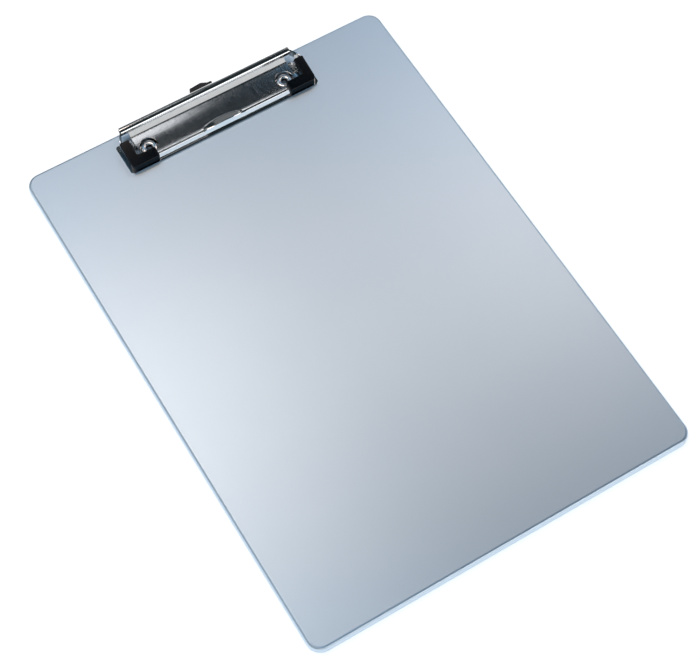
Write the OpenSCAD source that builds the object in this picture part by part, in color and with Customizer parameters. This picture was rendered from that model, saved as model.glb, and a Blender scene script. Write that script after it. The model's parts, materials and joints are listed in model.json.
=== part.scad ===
// Clipboard: a folded aluminium board with a low sprung clip at its far end.
// The origin is the middle of the whole footprint, on the surface it lies on.
// X runs across the board, Y towards the clip end, Z up.
// A name ending in _back is a distance from the board's clip end towards the reader.

/* [Board] */
// Width of the board
board_w = 228; // [215:1:235]
// Height of the board, from the reader's edge to the clip end
board_h = 320; // [310:1:335]
// Radius of the board's corners, seen from above
corner_r = 8; // [6:0.5:12]
// Depth of the folded rim, which is how thick the board looks
rim_h = 5; // [4.3:0.1:5.5]
// Thickness of the aluminium sheet
sheet_t = 1; // [0.8:0.1:1.1]
// Outside radius of the bend along the rim
bend_r = 1.8; // [1.4:0.1:2.2]

/* [Clip base] */
// Thickness of the plated steel sheet
steel_t = 0.8; // [0.6:0.1:0.8]
// Length of the base plate across the board
base_l = 120.8; // [120.2:0.2:126]
// Distance from the clip end to the base plate's front edge
base_front_back = 28.8; // [28.5:0.1:30]
// Distance from the clip end to the rear edge of the base plate's two ends
base_rear_back = 7.9; // [7.6:0.1:8.2]
// Spacing of the two eyelets
eyelet_spacing = 87.6; // [84:0.2:89]
// Distance from the clip end to the eyelets
eyelet_back = 17.5; // [17.4:0.1:17.6]
// Radius of the hole through an eyelet
eyelet_hole_r = 1.65; // [1.4:0.05:1.8]

/* [Lever] */
// Distance from the clip end to the hinge line
hinge_back = 14.2; // [14:0.1:14.4]
// Height of the hinge line above the board's face
hinge_up = 4.7; // [4.7:0.1:4.9]
// Height of the lever's plate above the board's face
plate_up = 3.1; // [3:0.1:3.2]
// Distance from the clip end to the ridge of the jaw
ridge_back = 25.5; // [25.4:0.1:25.6]
// Height of the jaw's ridge above the board's face
ridge_up = 4.1; // [4:0.1:4.2]
// Outside radius of the rolled thumb edge
roll_r = 2.4; // [2.2:0.1:2.5]
// Distance from the clip end to the middle of the roll
roll_back = 3.5; // [3.4:0.1:3.6]
// Length of the roll across the board
roll_l = 109.2; // [108:0.2:110]
// Radius of the two riveting holes through the plate
access_r = 5.3; // [5.1:0.05:5.4]
// How far the lever turns before its roll meets the board
lever_opening = 19; // [15:0.5:19]

/* [Rubber corners] */
// Distance between the outer faces of the two corners
corners_l = 118.2; // [118:0.1:118.8]
// Length of the leg along the jaw
front_leg_l = 17; // [14:0.5:19]
// Width of the leg along the side
side_leg_w = 6; // [5.9:0.1:6.4]
// Wall of the rubber
rubber_t = 1.2; // [1:0.1:1.25]

/* [Springs] */
// Diameter of the spring wire
wire_d = 0.8; // [0.7:0.05:0.8]
// Mean radius of the coil
coil_r = 1.7; // [1.65:0.05:1.75]
// Turns in each coil
coil_turns = 3; // [2:1:3]
// Distance from one turn to the next
coil_pitch = 1.25; // [1.22:0.01:1.25]

/* [Hanging loop] */
// How far the loop shows past the clip end when it is pushed in
loop_reach = 7; // [6:0.2:9]
// How far the loop pulls out
loop_travel = 12; // [10:0.5:12]
// Radius of the hanging hole
hang_r = 3.5; // [3:0.1:3.6]
// Thickness of the loop
loop_t = 1.1; // [0.9:0.05:1.1]

/* [Hidden] */
$fn = 64;

left = -1;
right = 1;
step = 0.01;

// Board
clip_end = (board_h - loop_reach) / 2;
reader_end = clip_end - board_h;
board_mid = (clip_end + reader_end) / 2;
face = rim_h;

// Clip base
base_top = face + steel_t;
base_front = clip_end - base_front_back;
base_rear = clip_end - base_rear_back;
base_mid_rear = clip_end - 11.1;
base_end_in = 51.1;
base_corner_r = 1.6;
base_chamfer = 1.6;
base_ear_in = 56.25;
base_ear_r = 2.2;
eyelet_y = clip_end - eyelet_back;
barrel_r = eyelet_hole_r + 0.45;
barrel_gap = 0.04;
flange_r = 4.6;
flange_t = 0.6;
tail_r = 3.4;
tail_t = 0.7;

// Hinge
hinge_y = clip_end - hinge_back;
hinge_z = face + hinge_up;
pin_r = 1;
pin_head_r = 1.7;
pin_head_t = 0.5;
pin_in = 50.9;
running_gap = 0.05;
press_gap = 0.02;

// Lever
plate_top = face + plate_up;
plate_low = plate_top - steel_t;
plate_rear = clip_end - 7.9;
plate_half = 50.3;
window_front = hinge_y - 3.3;
plate_mid = plate_top - steel_t / 2;
jaw_rear = clip_end - 23.35;
jaw_front = clip_end - 27;
jaw_foot = base_top + 0.2;
ridge_y = clip_end - ridge_back;
ridge_top = face + ridge_up;
arch_half = 17;
arch_rise = 0.3;
arch_slope = 17;
ear_in = 57.2;
ear_out = ear_in + steel_t;
ear_bend_y = clip_end - 10;
ear_end_y = clip_end - 4.2;
ear_foot_rear = clip_end - 24.7;
ear_front_top = face + 4.2;
ear_rear_top = face + 8.1;
ear_rear_low = hinge_z - 1.1;
roll_y = clip_end - roll_back;
roll_z = face + 6.2;
roll_half = roll_l / 2;
roll_mid_r = roll_r - steel_t / 2;
riser_meets = 208;

// The middle of the sheet, seen from the side: the jaw from the plate to its foot,
// and the riser from the plate to the roll
jaw_path = [[jaw_rear, plate_mid],
            [ridge_y, ridge_top - steel_t / 2],
            [jaw_front + steel_t / 2, jaw_foot + steel_t / 2]];
riser_path = [[plate_rear, plate_mid],
              [roll_y + roll_mid_r * cos(riser_meets), roll_z + roll_mid_r * sin(riser_meets)]];

// Rubber corners
rubber_out = corners_l / 2;
rubber_in = rubber_out - side_leg_w;
rubber_front = clip_end - 28.1;
rubber_back = clip_end - 11.8;
rubber_front_leg_back = clip_end - 22;
rubber_room_front = clip_end - 24.7;
rubber_plan_r = 3;
rubber_foot = base_top + 0.2;
rubber_rear_foot = base_top + 1.2;
rubber_front_top = face + 5.5;
rubber_slope = 11.5;
fit_gap = 0.1;

// Springs
spring_in = pin_in + pin_head_t + 0.1 + wire_d / 2;
spring_out = spring_in + coil_pitch * coil_turns;
spring_sides = 6;
rings_a_turn = 8;
spring_lever_arm = 8;
spring_base_arm = 4.6;
lever_arm_z = plate_top + wire_d / 2 + fit_gap - hinge_z;
base_arm_z = base_top + wire_d / 2 + fit_gap - hinge_z;

// Hanging loop and the channel it slides in
channel_d = 1.3;
channel_floor = face - channel_d;
loop_low = channel_floor + 0.05;
loop_half = 7;
loop_head_half = 10;
loop_head_l = 3;
loop_inner = clip_end - 24.5;
loop_side_gap = 0.3;
channel_inner = loop_inner - 0.5;
channel_neck = loop_inner + loop_head_l + loop_travel + 0.2;
hang_y = clip_end - 3.6;

// Mirrors what is drawn for the right-hand side when side is left
module on_side(side) {
    mirror([side == left ? 1 : 0, 0, 0])
        children();
}

// Draws a profile in (y, z) from x0 to x1
module along_x(x0, x1) {
    translate([x0, 0, 0])
        rotate([90, 0, 90])
            linear_extrude(x1 - x0)
                children();
}

module rounded_rect(w, h, r) {
    union() {
        square([w - 2 * r, h], center = true);
        square([w, h - 2 * r], center = true);
        for (sx = [-1, 1], sy = [-1, 1])
            translate([sx * (w / 2 - r), sy * (h / 2 - r)])
                circle(r);
    }
}

// ---- Board ----

// Section of the folded rim: x = 0 is the outer face
module rim_section() {
    translate([-sheet_t, 0])
        square([sheet_t, rim_h - bend_r]);
    intersection() {
        translate([-bend_r, rim_h - bend_r])
            difference() {
                circle(bend_r);
                circle(bend_r - sheet_t);
            }
        translate([-bend_r, rim_h - bend_r])
            square(bend_r);
    }
}

module rim_side(length) {
    rotate([90, 0, 0])
        translate([0, 0, -length / 2])
            linear_extrude(length)
                rim_section();
}

module rim() {
    straight_w = board_w - 2 * corner_r;
    straight_h = board_h - 2 * corner_r;
    for (turn = [0, 180]) {
        rotate(turn)
            translate([board_w / 2, 0, 0])
                rim_side(straight_h);
        rotate(turn + 90)
            translate([board_h / 2, 0, 0])
                rim_side(straight_w);
    }
    for (sx = [-1, 1], sy = [-1, 1])
        translate([sx * straight_w / 2, sy * straight_h / 2, 0])
            rotate(sx > 0 ? (sy > 0 ? 0 : 270) : (sy > 0 ? 90 : 180))
                rotate_extrude(angle = 90)
                    translate([corner_r, 0])
                        rim_section();
}

// Plan of the channel that the hanging loop slides in, grown by a wall
module channel_plan(wall) {
    head = loop_head_half + loop_side_gap + wall;
    neck = loop_half + loop_side_gap + wall;
    translate([-head, channel_inner - wall])
        square([2 * head, channel_neck - channel_inner + 2 * wall]);
    translate([-neck, channel_neck])
        square([2 * neck, clip_end - channel_neck - (wall > 0 ? step : -1)]);
}

module board_panel() {
    color("lightsteelblue")
        difference() {
            union() {
                translate([0, board_mid, 0])
                    union() {
                        rim();
                        translate([0, 0, rim_h - sheet_t])
                            linear_extrude(sheet_t)
                                rounded_rect(board_w - 2 * bend_r, board_h - 2 * bend_r, corner_r - bend_r);
                    }
                translate([0, 0, channel_floor - sheet_t])
                    linear_extrude(channel_d + sheet_t / 2)
                        channel_plan(sheet_t);
            }
            translate([0, 0, channel_floor])
                linear_extrude(channel_d + 1)
                    channel_plan(0);
            for (side = [left, right])
                translate([side * eyelet_spacing / 2, eyelet_y, 0])
                    cylinder(h = rim_h + 1, r = barrel_r + barrel_gap);
        }
}

// ---- Clip base ----

module base_plan() {
    half = base_l / 2;
    difference() {
        translate([-half, base_front])
            square([base_l, base_rear - base_front]);
        // the middle stops short, so that the lever's plate can dip behind it
        translate([-base_end_in, base_mid_rear])
            square([2 * base_end_in, base_rear]);
        for (side = [left, right])
            on_side(side) {
                polygon([[half - base_chamfer, base_front],
                         [half + 1, base_front - 1],
                         [half, base_front + base_chamfer]]);
                translate([half - base_corner_r, base_rear - base_corner_r])
                    difference() {
                        square(base_corner_r + 1);
                        circle(base_corner_r);
                    }
            }
    }
}

// One of the two ears that the lever hinges on, bent up from the plate
module base_ear() {
    along_x(base_ear_in, base_ear_in + steel_t)
        difference() {
            union() {
                translate([hinge_y - base_ear_r, face + steel_t / 2])
                    square([2 * base_ear_r, hinge_z - face - steel_t / 2]);
                translate([hinge_y, hinge_z])
                    circle(base_ear_r);
            }
            translate([hinge_y, hinge_z])
                circle(pin_r + press_gap);
        }
}

module clip_base() {
    color("gainsboro")
        union() {
            difference() {
                translate([0, 0, face])
                    linear_extrude(steel_t)
                        base_plan();
                for (side = [left, right])
                    translate([side * eyelet_spacing / 2, eyelet_y, face - 1])
                        cylinder(h = steel_t + 2, r = barrel_r + barrel_gap);
            }
            for (side = [left, right])
                on_side(side)
                    base_ear();
        }
}

// A hollow rivet: domed flange above, barrel, and a rolled tail under the sheet
module eyelet(side) {
    sheet_low = face - sheet_t;
    color("silver")
        translate([side * eyelet_spacing / 2, eyelet_y, 0])
            rotate_extrude()
                difference() {
                    union() {
                        translate([eyelet_hole_r, sheet_low - tail_t])
                            square([barrel_r - eyelet_hole_r, base_top + flange_t - sheet_low + tail_t]);
                        intersection() {
                            translate([eyelet_hole_r, base_top])
                                square([flange_r - eyelet_hole_r, flange_t]);
                            translate([eyelet_hole_r + 1.1, base_top - 6.6 + flange_t])
                                circle(6.6);
                        }
                        intersection() {
                            translate([eyelet_hole_r, sheet_low - tail_t])
                                square([tail_r - eyelet_hole_r, tail_t]);
                            translate([eyelet_hole_r + 0.9, sheet_low])
                                circle(1);
                        }
                    }
                    // the mouth of the hole is rounded over
                    translate([eyelet_hole_r, base_top + flange_t])
                        circle(0.25);
                }
}

// ---- Hinge pins and springs ----

module hinge_pin(side) {
    color("dimgray")
        on_side(side)
            translate([pin_in, hinge_y, hinge_z])
                rotate([0, 90, 0]) {
                    cylinder(h = pin_head_t, r = pin_head_r);
                    cylinder(h = ear_out - pin_in, r = pin_r);
                }
}

// Centre line of a torsion spring, in (x, y, z) about the hinge line.
// The outer end lies on the lever's plate ahead of the hinge and presses the jaw down,
// the inner end stands on the base plate behind it.
function coil_point(x, angle) = [x, coil_r * cos(angle), coil_r * sin(angle)];
function spring_route() = let (
        rings = coil_turns * rings_a_turn,
        start = -90,
        sweep = 360 * coil_turns
    ) concat(
        [[spring_in, spring_base_arm, base_arm_z],
         [spring_in, spring_base_arm - 1.2, base_arm_z],
         [spring_in, 1.1, -coil_r - 0.1]],
        [for (i = [0 : rings])
            coil_point(spring_in + (spring_out - spring_in) * i / rings, start - sweep * i / rings)],
        [[spring_out + 0.1, -1.5, -coil_r + 0.2],
         [spring_out + 0.15, -2.5, lever_arm_z - 0.05],
         [spring_out + 0.15, -3.4, lever_arm_z],
         [spring_out + 0.15, -spring_lever_arm, lever_arm_z]]
    );

function unit(v) = v / norm(v);
function tangent(route, i) = unit(route[min(i + 1, len(route) - 1)] - route[max(i - 1, 0)]);

// Distance between the middles of two stretches of the route, less the wire
function least_gap(route, wire) = min([
        for (i = [0 : len(route) - 2], j = [0 : len(route) - 2])
            if (abs(i - j) > 3)
                norm((route[i] + route[i + 1]) / 2 - (route[j] + route[j + 1]) / 2) - wire
    ]);

module tube(route, wire, sides) {
    last = len(route) - 1;
    points = [
        for (i = [0 : last])
            let (t = tangent(route, i), a = unit(cross(t, [1, 0, 0])), b = cross(t, a))
                for (k = [0 : sides - 1])
                    route[i] + wire / 2 * (cos(360 * k / sides) * a + sin(360 * k / sides) * b)
    ];
    sides_faces = [
        for (i = [0 : last - 1], k = [0 : sides - 1], half = [0, 1])
            let (
                p = i * sides + k,
                q = i * sides + (k + 1) % sides
            ) half == 0 ? [p, q, p + sides] : [q, q + sides, p + sides]
    ];
    start_cap = [for (k = [1 : sides - 2]) [0, k + 1, k]];
    end = last * sides;
    end_cap = [for (k = [1 : sides - 2]) [end, end + k, end + k + 1]];
    polyhedron(points, concat(sides_faces, start_cap, end_cap));
}

module torsion_spring(side) {
    route = spring_route();
    echo("least gap of a spring to itself, mm:", least_gap(route, wire_d));
    color("darkgray")
        on_side(side)
            translate([0, hinge_y, hinge_z])
                tube(route, wire_d, spring_sides);
}

// ---- Lever ----

// Bent sheet seen from the side, from the points along its middle
module sheet_path(points, thickness) {
    for (point = points)
        translate(point)
            circle(thickness / 2);
    for (i = [1 : len(points) - 1]) {
        along = unit(points[i] - points[i - 1]);
        across = thickness / 2 * [-along[1], along[0]];
        polygon([points[i - 1] - across, points[i] - across, points[i] + across, points[i - 1] + across]);
    }
}

// Section of the roll, open below at the front where the finger doesn't reach
module roll_section() {
    reach = 2 * roll_r;
    translate([roll_y, roll_z])
        difference() {
            circle(roll_r);
            circle(roll_r - steel_t);
            polygon([[0, 0],
                     [reach * cos(215), reach * sin(215)],
                     [reach * cos(250), reach * sin(250)],
                     [reach * cos(290), reach * sin(290)]]);
        }
}

// Plan of one side of the lever, grown by a gap: straight where the hinge is,
// then drawn in to the roll's end
module ear_plan(gap) {
    drawn_in = roll_half - steel_t;
    polygon([[ear_in - gap, jaw_front + 1],
             [ear_in + 0.4 - gap, jaw_front - gap],
             [ear_in + 0.4 + gap / 2, jaw_front - gap],
             [ear_out + gap, jaw_front + 0.8 - gap / 2],
             [ear_out + gap, ear_bend_y],
             [roll_half + gap, ear_end_y],
             [drawn_in - gap, ear_end_y - 0.3],
             [ear_in - gap, ear_bend_y - 0.3]]);
}

module lever_ear() {
    intersection() {
        linear_extrude(20)
            ear_plan(0);
        along_x(0, 80)
            difference() {
                polygon([[jaw_front, jaw_foot + 0.1],
                         [ear_foot_rear, jaw_foot + 0.1],
                         [ear_foot_rear + 3, plate_low],
                         [hinge_y - 2, plate_low],
                         [hinge_y + 3, ear_rear_low],
                         [clip_end, ear_rear_low],
                         [clip_end, ear_rear_top],
                         [ear_bend_y, ear_rear_top],
                         [jaw_front, ear_front_top]]);
                translate([hinge_y, hinge_z])
                    circle(pin_r + running_gap);
            }
    }
}

// A shallow arch pressed up behind the middle of the ridge, running out into the plate
module jaw_arch() {
    sagitta = ridge_top + arch_rise - plate_top;
    arc_r = (arch_half * arch_half + sagitta * sagitta) / (2 * sagitta);
    intersection() {
        translate([0, ridge_y - arc_r * sin(arch_slope), ridge_top + arch_rise - arc_r * cos(arch_slope)])
            rotate([-90 - arch_slope, 0, 0])
                cylinder(h = 12, r = arc_r, center = true, $fn = 256);
        translate([-arch_half, ridge_y, plate_low])
            cube([2 * arch_half, 5, 3]);
    }
}

module clip_lever() {
    color("lightgray")
        union() {
            difference() {
                translate([0, 0, plate_low])
                    linear_extrude(steel_t)
                        union() {
                            translate([-ear_in - step, jaw_rear])
                                square([2 * (ear_in + step), window_front - jaw_rear]);
                            translate([-plate_half, jaw_rear])
                                square([2 * plate_half, plate_rear - jaw_rear]);
                        }
                for (side = [left, right])
                    translate([side * eyelet_spacing / 2, eyelet_y, 0])
                        cylinder(h = 20, r = access_r);
            }
            along_x(-ear_in - step, ear_in + step)
                sheet_path(jaw_path, steel_t);
            along_x(-plate_half, plate_half)
                sheet_path(riser_path, steel_t);
            along_x(-roll_half, roll_half)
                roll_section();
            jaw_arch();
            for (side = [left, right])
                on_side(side)
                    lever_ear();
        }
}

// ---- Rubber corners ----

module rubber_plan() {
    leg_end = rubber_out - front_leg_l;
    difference() {
        union() {
            translate([leg_end, rubber_front])
                square([front_leg_l, rubber_front_leg_back - rubber_front]);
            translate([rubber_in, rubber_front])
                square([side_leg_w, rubber_back - rubber_front]);
        }
        translate([rubber_out - rubber_plan_r, rubber_front + rubber_plan_r])
            difference() {
                translate([0, -rubber_plan_r - 1])
                    square(rubber_plan_r + 1);
                circle(rubber_plan_r);
            }
    }
}

// Side view of the whole corner: a foot near the base plate and a top that climbs to the rear
module rubber_side() {
    climb = tan(rubber_slope);
    polygon([[rubber_front, rubber_foot],
             [hinge_y - 5, rubber_foot],
             [rubber_back, rubber_rear_foot],
             [rubber_back, rubber_front_top + climb * (rubber_back - rubber_front)],
             [rubber_front, rubber_front_top]]);
}

// What the corner is hollowed by: the jaw, the ear, and the room that the hinge needs
module rubber_hollow() {
    climb = tan(rubber_slope);
    room_r = coil_r + wire_d / 2 + 0.3;
    cavity_in = rubber_in + rubber_t;
    // the jaw and everything below it
    along_x(0, ear_out + fit_gap) {
        sheet_path(jaw_path, steel_t + 2 * fit_gap);
        polygon([[jaw_front - fit_gap, 0],
                 [jaw_rear, 0],
                 jaw_path[0],
                 jaw_path[1],
                 jaw_path[2],
                 [jaw_front - fit_gap, jaw_foot + steel_t / 2]]);
    }
    // the lever's plate, and everything below it
    translate([0, jaw_rear - step, 0])
        cube([ear_out + fit_gap, 40, plate_top + fit_gap]);
    // the lever's ear
    intersection() {
        linear_extrude(20)
            ear_plan(fit_gap);
        along_x(0, 80)
            polygon([[jaw_front - fit_gap, 0],
                     [clip_end, 0],
                     [clip_end, ear_rear_top + fit_gap],
                     [ear_bend_y, ear_rear_top + fit_gap],
                     [jaw_front - fit_gap, ear_front_top + fit_gap]]);
    }
    // the springs and the base plate's ear
    intersection() {
        translate([cavity_in, rubber_room_front, 0])
            cube([ear_out + fit_gap - cavity_in, 40, 20]);
        along_x(0, 80)
            polygon([[rubber_room_front, 0],
                     [clip_end, 0],
                     [clip_end, rubber_front_top - rubber_t + climb * (clip_end - rubber_front)],
                     [rubber_room_front,
                      rubber_front_top - rubber_t + climb * (rubber_room_front - rubber_front)]]);
    }
    // the inner wall clears the coil and the pin
    along_x(0, ear_out) {
        translate([hinge_y, hinge_z])
            circle(room_r);
        translate([hinge_y - room_r, 0])
            square([4 * room_r, hinge_z]);
        translate([hinge_y, 0])
            square([20, hinge_z + room_r]);
    }
}

module rubber_corner(side) {
    color("black")
        on_side(side)
            difference() {
                intersection() {
                    linear_extrude(20)
                        rubber_plan();
                    along_x(0, 80)
                        rubber_side();
                }
                rubber_hollow();
            }
}

// ---- Hanging loop ----

module loop_outline() {
    head_outer = loop_inner + loop_head_l;
    tip = clip_end + loop_reach;
    difference() {
        polygon([[-loop_head_half, loop_inner],
                 [loop_head_half, loop_inner],
                 [loop_head_half, head_outer],
                 [loop_half, head_outer],
                 [loop_half, tip - 4.2],
                 // the grip that shows behind the roll, with a nub for the thumbnail
                 [8.2, tip - 3.2],
                 [8.2, tip - 1.8],
                 [5.8, tip - 1.8],
                 [2.2, tip],
                 [-5.2, tip - 0.6],
                 [-6.4, tip - 3.2],
                 [-loop_half, tip - 4.5],
                 [-loop_half, head_outer],
                 [-loop_head_half, head_outer]]);
        translate([0, hang_y])
            circle(hang_r);
    }
}

module hanging_loop() {
    color("black")
        translate([0, 0, loop_low])
            linear_extrude(loop_t)
                loop_outline();
}

board_panel();
clip_base();
eyelet(left);  // eyelet_left
eyelet(right);  // eyelet_right
hinge_pin(left);  // hinge_pin_left
hinge_pin(right);  // hinge_pin_right
torsion_spring(left);  // torsion_spring_left
torsion_spring(right);  // torsion_spring_right
clip_lever();
rubber_corner(left);  // rubber_corner_left
rubber_corner(right);  // rubber_corner_right
hanging_loop();
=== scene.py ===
import json
import math

import bmesh
import bpy
from mathutils import Matrix, Vector


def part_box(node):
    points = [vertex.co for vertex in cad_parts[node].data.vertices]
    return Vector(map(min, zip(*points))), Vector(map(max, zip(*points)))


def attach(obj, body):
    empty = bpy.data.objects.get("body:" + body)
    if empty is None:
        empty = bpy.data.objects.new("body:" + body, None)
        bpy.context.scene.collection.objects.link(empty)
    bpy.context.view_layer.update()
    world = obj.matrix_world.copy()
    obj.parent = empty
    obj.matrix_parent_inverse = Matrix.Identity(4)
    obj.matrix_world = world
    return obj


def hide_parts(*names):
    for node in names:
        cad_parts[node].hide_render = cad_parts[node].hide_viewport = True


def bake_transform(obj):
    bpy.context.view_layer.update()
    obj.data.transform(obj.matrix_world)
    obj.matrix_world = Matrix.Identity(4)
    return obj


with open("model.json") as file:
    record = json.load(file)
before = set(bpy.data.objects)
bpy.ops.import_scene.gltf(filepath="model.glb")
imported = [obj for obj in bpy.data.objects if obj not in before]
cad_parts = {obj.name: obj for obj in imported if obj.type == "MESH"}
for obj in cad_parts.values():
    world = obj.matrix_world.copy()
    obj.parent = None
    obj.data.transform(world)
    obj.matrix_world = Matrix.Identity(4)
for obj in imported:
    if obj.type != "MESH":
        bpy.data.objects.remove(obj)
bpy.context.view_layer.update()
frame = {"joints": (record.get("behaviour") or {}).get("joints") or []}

# A clipboard: a folded aluminium board with a low sprung clip at its far end.
# X runs across the board, Y towards the clip end, Z up. Everything is in metres.

MM = 0.001

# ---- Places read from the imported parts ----

board_lo, board_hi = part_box("board_panel")
base_lo, base_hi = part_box("clip_base")
lever_lo, lever_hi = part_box("clip_lever")
eyelet_lo, eyelet_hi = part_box("eyelet_right")
rubber_lo, rubber_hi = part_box("rubber_corner_right")
loop_lo, loop_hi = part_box("hanging_loop")
pin_lo, pin_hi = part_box("hinge_pin_right")
hinge = Vector(next(j["pos_m"] for j in frame["joints"] if j["name"] == "lever_hinge"))

FACE = board_hi.z
CLIP_END = board_hi.y
EYELET = (eyelet_lo + eyelet_hi) / 2

# ---- Sheet and wire sizes ----

BOARD_SHEET = 1 * MM
BOARD_BEND = 1.8 * MM
BOARD_CORNER = 8 * MM
STEEL = 0.8 * MM
WIRE = 0.8 * MM
BASE_TOP = FACE + STEEL
FIT_GAP = 0.1 * MM
# Length of a drill that goes through any sheet here
DRILL = 6 * MM

# The channel pressed into the board under the clip, and its room round the hanging loop
CHANNEL_DEPTH = 1.3 * MM
CHANNEL_CORNER = 1 * MM
LOOP_GAP = 0.3 * MM
LOOP_INNER_GAP = 0.5 * MM
LOOP_STOP_GAP = 0.2 * MM

# The hanging loop: half its neck's width, its head's length, its travel, and its hole
LOOP_NECK = 7 * MM
LOOP_HEAD = 3 * MM
LOOP_TRAVEL = 12 * MM
HANG_BACK = 3.6 * MM
HANG_R = 3.5 * MM

# The base plate, whose two ears hold the hinge pins
BASE_INNER = 51.1 * MM
BASE_MIDDLE = CLIP_END - 11.1 * MM
BASE_REAR = CLIP_END - 7.9 * MM
BASE_EAR_X = 56.65 * MM
BASE_EAR_R = 2.2 * MM
BASE_PIN_HOLE_R = 1.02 * MM

# The eyelets
RIVET_HOLE_R = 2.14 * MM
EYELET_BORE_R = 1.65 * MM
EYELET_BARREL_R = 2.1 * MM
EYELET_TAIL_R = 3.3 * MM

# The lever's section, as distances back from the clip end and heights above the board's face
JAW_FRONT = CLIP_END - 27 * MM
JAW_REAR = CLIP_END - 23.35 * MM
RIDGE_Y = CLIP_END - 25.5 * MM
RIDGE_MID = FACE + 4.1 * MM - STEEL / 2
RIDGE_BEND = 0.55 * MM
FOOT_MID = BASE_TOP + 0.2 * MM + STEEL / 2
PLATE_MID = FACE + 3.1 * MM - STEEL / 2
PLATE_LOW = PLATE_MID - STEEL / 2
PLATE_TOP = PLATE_MID + STEEL / 2
PLATE_REAR = CLIP_END - 7.9 * MM
PLATE_BEND = 0.5 * MM
PLATE_HALF = 50.3 * MM
WINDOW_FRONT = hinge.y - 3.3 * MM
ACCESS_R = 5.3 * MM

# The rolled thumb edge, with angles from level at its rear
ROLL_R = 2.4 * MM
ROLL_Y = lever_hi.y - ROLL_R
ROLL_Z = FACE + 6.2 * MM
ROLL_HALF = 54.6 * MM
ROLL_MID = ROLL_R - STEEL / 2
ROLL_LIP = math.radians(215)
ROLL_OPEN = math.radians(290)
RISER_MEETS = math.radians(208)

# The lever's upturned sides
EAR_MID = lever_hi.x - STEEL / 2
EAR_FRONT = lever_lo.y + 0.5 * MM
EAR_FOOT = BASE_TOP + 0.35 * MM
EAR_FOOT_REAR = CLIP_END - 24.7 * MM
EAR_BEND = CLIP_END - 10 * MM
EAR_HALF_BEND = 1.2 * MM
EAR_END = CLIP_END - 4.2 * MM
EAR_TOP_FRONT = FACE + 4.2 * MM
EAR_TOP_REAR = FACE + 8.1 * MM
EAR_LOW_REAR = hinge.z - 1.1 * MM
EAR_PIN_HOLE_R = 1.05 * MM

# The panel's crown, and the arch behind the middle of the ridge
PANEL_CROWN = 0.16 * MM
ARCH_HALF = 17 * MM
ARCH_REACH = 6 * MM
ARCH_RISE = 0.3 * MM
ARCH_SLOPE = math.tan(math.radians(17))
ARCH_SOFT = 0.12 * MM

# The rubber corners
RUBBER_WALL = 1.2 * MM
RUBBER_SIDE_LEG = 6 * MM
RUBBER_LEG_REAR = CLIP_END - 22 * MM
RUBBER_TOP = FACE + 5.5 * MM
RUBBER_SLOPE = math.radians(11.5)
RUBBER_FOOT = BASE_TOP + 0.2 * MM
RUBBER_REAR_FOOT = BASE_TOP + 1.2 * MM
RUBBER_FOOT_FRONT = hinge.y - 5 * MM
RUBBER_PLAN_R = 3 * MM
RUBBER_RIM_R = 0.7 * MM

# The springs
COIL_R = 1.7 * MM
COIL_TURNS = 3
COIL_PITCH = 1.25 * MM
COIL_STEPS = 28


# ---- Materials ----

def srgb(code):
    """A hex sRGB colour, as linear RGBA."""
    channels = [int(code[i:i + 2], 16) / 255 for i in (1, 3, 5)]
    linear = [c / 12.92 if c <= 0.04045 else ((c + 0.055) / 1.055) ** 2.4 for c in channels]
    return (*linear, 1.0)


def add(tree, kind, inputs=None, **settings):
    """Adds a shader node with its settings; an input that is a socket is linked, any other is set."""
    made = tree.nodes.new("ShaderNode" + kind)
    for name, value in settings.items():
        setattr(made, name, value)
    for name, value in (inputs or {}).items():
        if isinstance(value, bpy.types.NodeSocket):
            tree.links.new(value, made.inputs[name])
        else:
            made.inputs[name].default_value = value
    return made


def new_material(name):
    """An empty material with its tree, its Principled shader and the object's own coordinates."""
    material = bpy.data.materials.new(name)
    material.use_nodes = True
    tree = material.node_tree
    shader = tree.nodes["Principled BSDF"]
    place = add(tree, "TexCoord").outputs["Object"]
    return material, tree, shader, place


def grain(tree, place, size, detail=2.0):
    """Noise whose lumps measure size, one number or one for each axis."""
    sizes = size if isinstance(size, tuple) else (size,) * 3
    scaled = add(tree, "Mapping", {"Vector": place, "Scale": [1 / s for s in sizes]})
    noise = add(tree, "TexNoise", {"Vector": scaled.outputs[0], "Scale": 1.0, "Detail": detail})
    return noise.outputs["Fac"]


def spread(tree, factor, low, high):
    """Maps noise, which seldom leaves 0.3 to 0.7, on to low to high."""
    ramp = add(tree, "MapRange", {"Value": factor, "From Min": 0.3, "From Max": 0.7,
                                  "To Min": low, "To Max": high})
    return ramp.outputs[0]


def satin_anodised_aluminium():
    """Board sheet: etched to a fine satin and clear anodised, for a wide soft gloss and a cold tint."""
    material, tree, shader, place = new_material("satin_anodised_aluminium")
    shade = spread(tree, grain(tree, place, 60 * MM), 0.0, 1.0)
    tint = add(tree, "Mix", {"Factor": shade, "A": srgb("#cbdbe8"), "B": srgb("#cddce9")}, data_type="RGBA")
    # the etch is about 0.1 mm; it is drawn at 0.5 mm so that it just shows
    etch = grain(tree, place, 0.5 * MM, 3.0)
    tree.links.new(tint.outputs["Result"], shader.inputs["Base Color"])
    tree.links.new(spread(tree, etch, 0.37, 0.43), shader.inputs["Roughness"])
    bump = add(tree, "Bump", {"Height": etch, "Strength": 0.05, "Distance": 0.02 * MM})
    tree.links.new(bump.outputs[0], shader.inputs["Normal"])
    shader.inputs["Metallic"].default_value = 1.0
    return material


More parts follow.
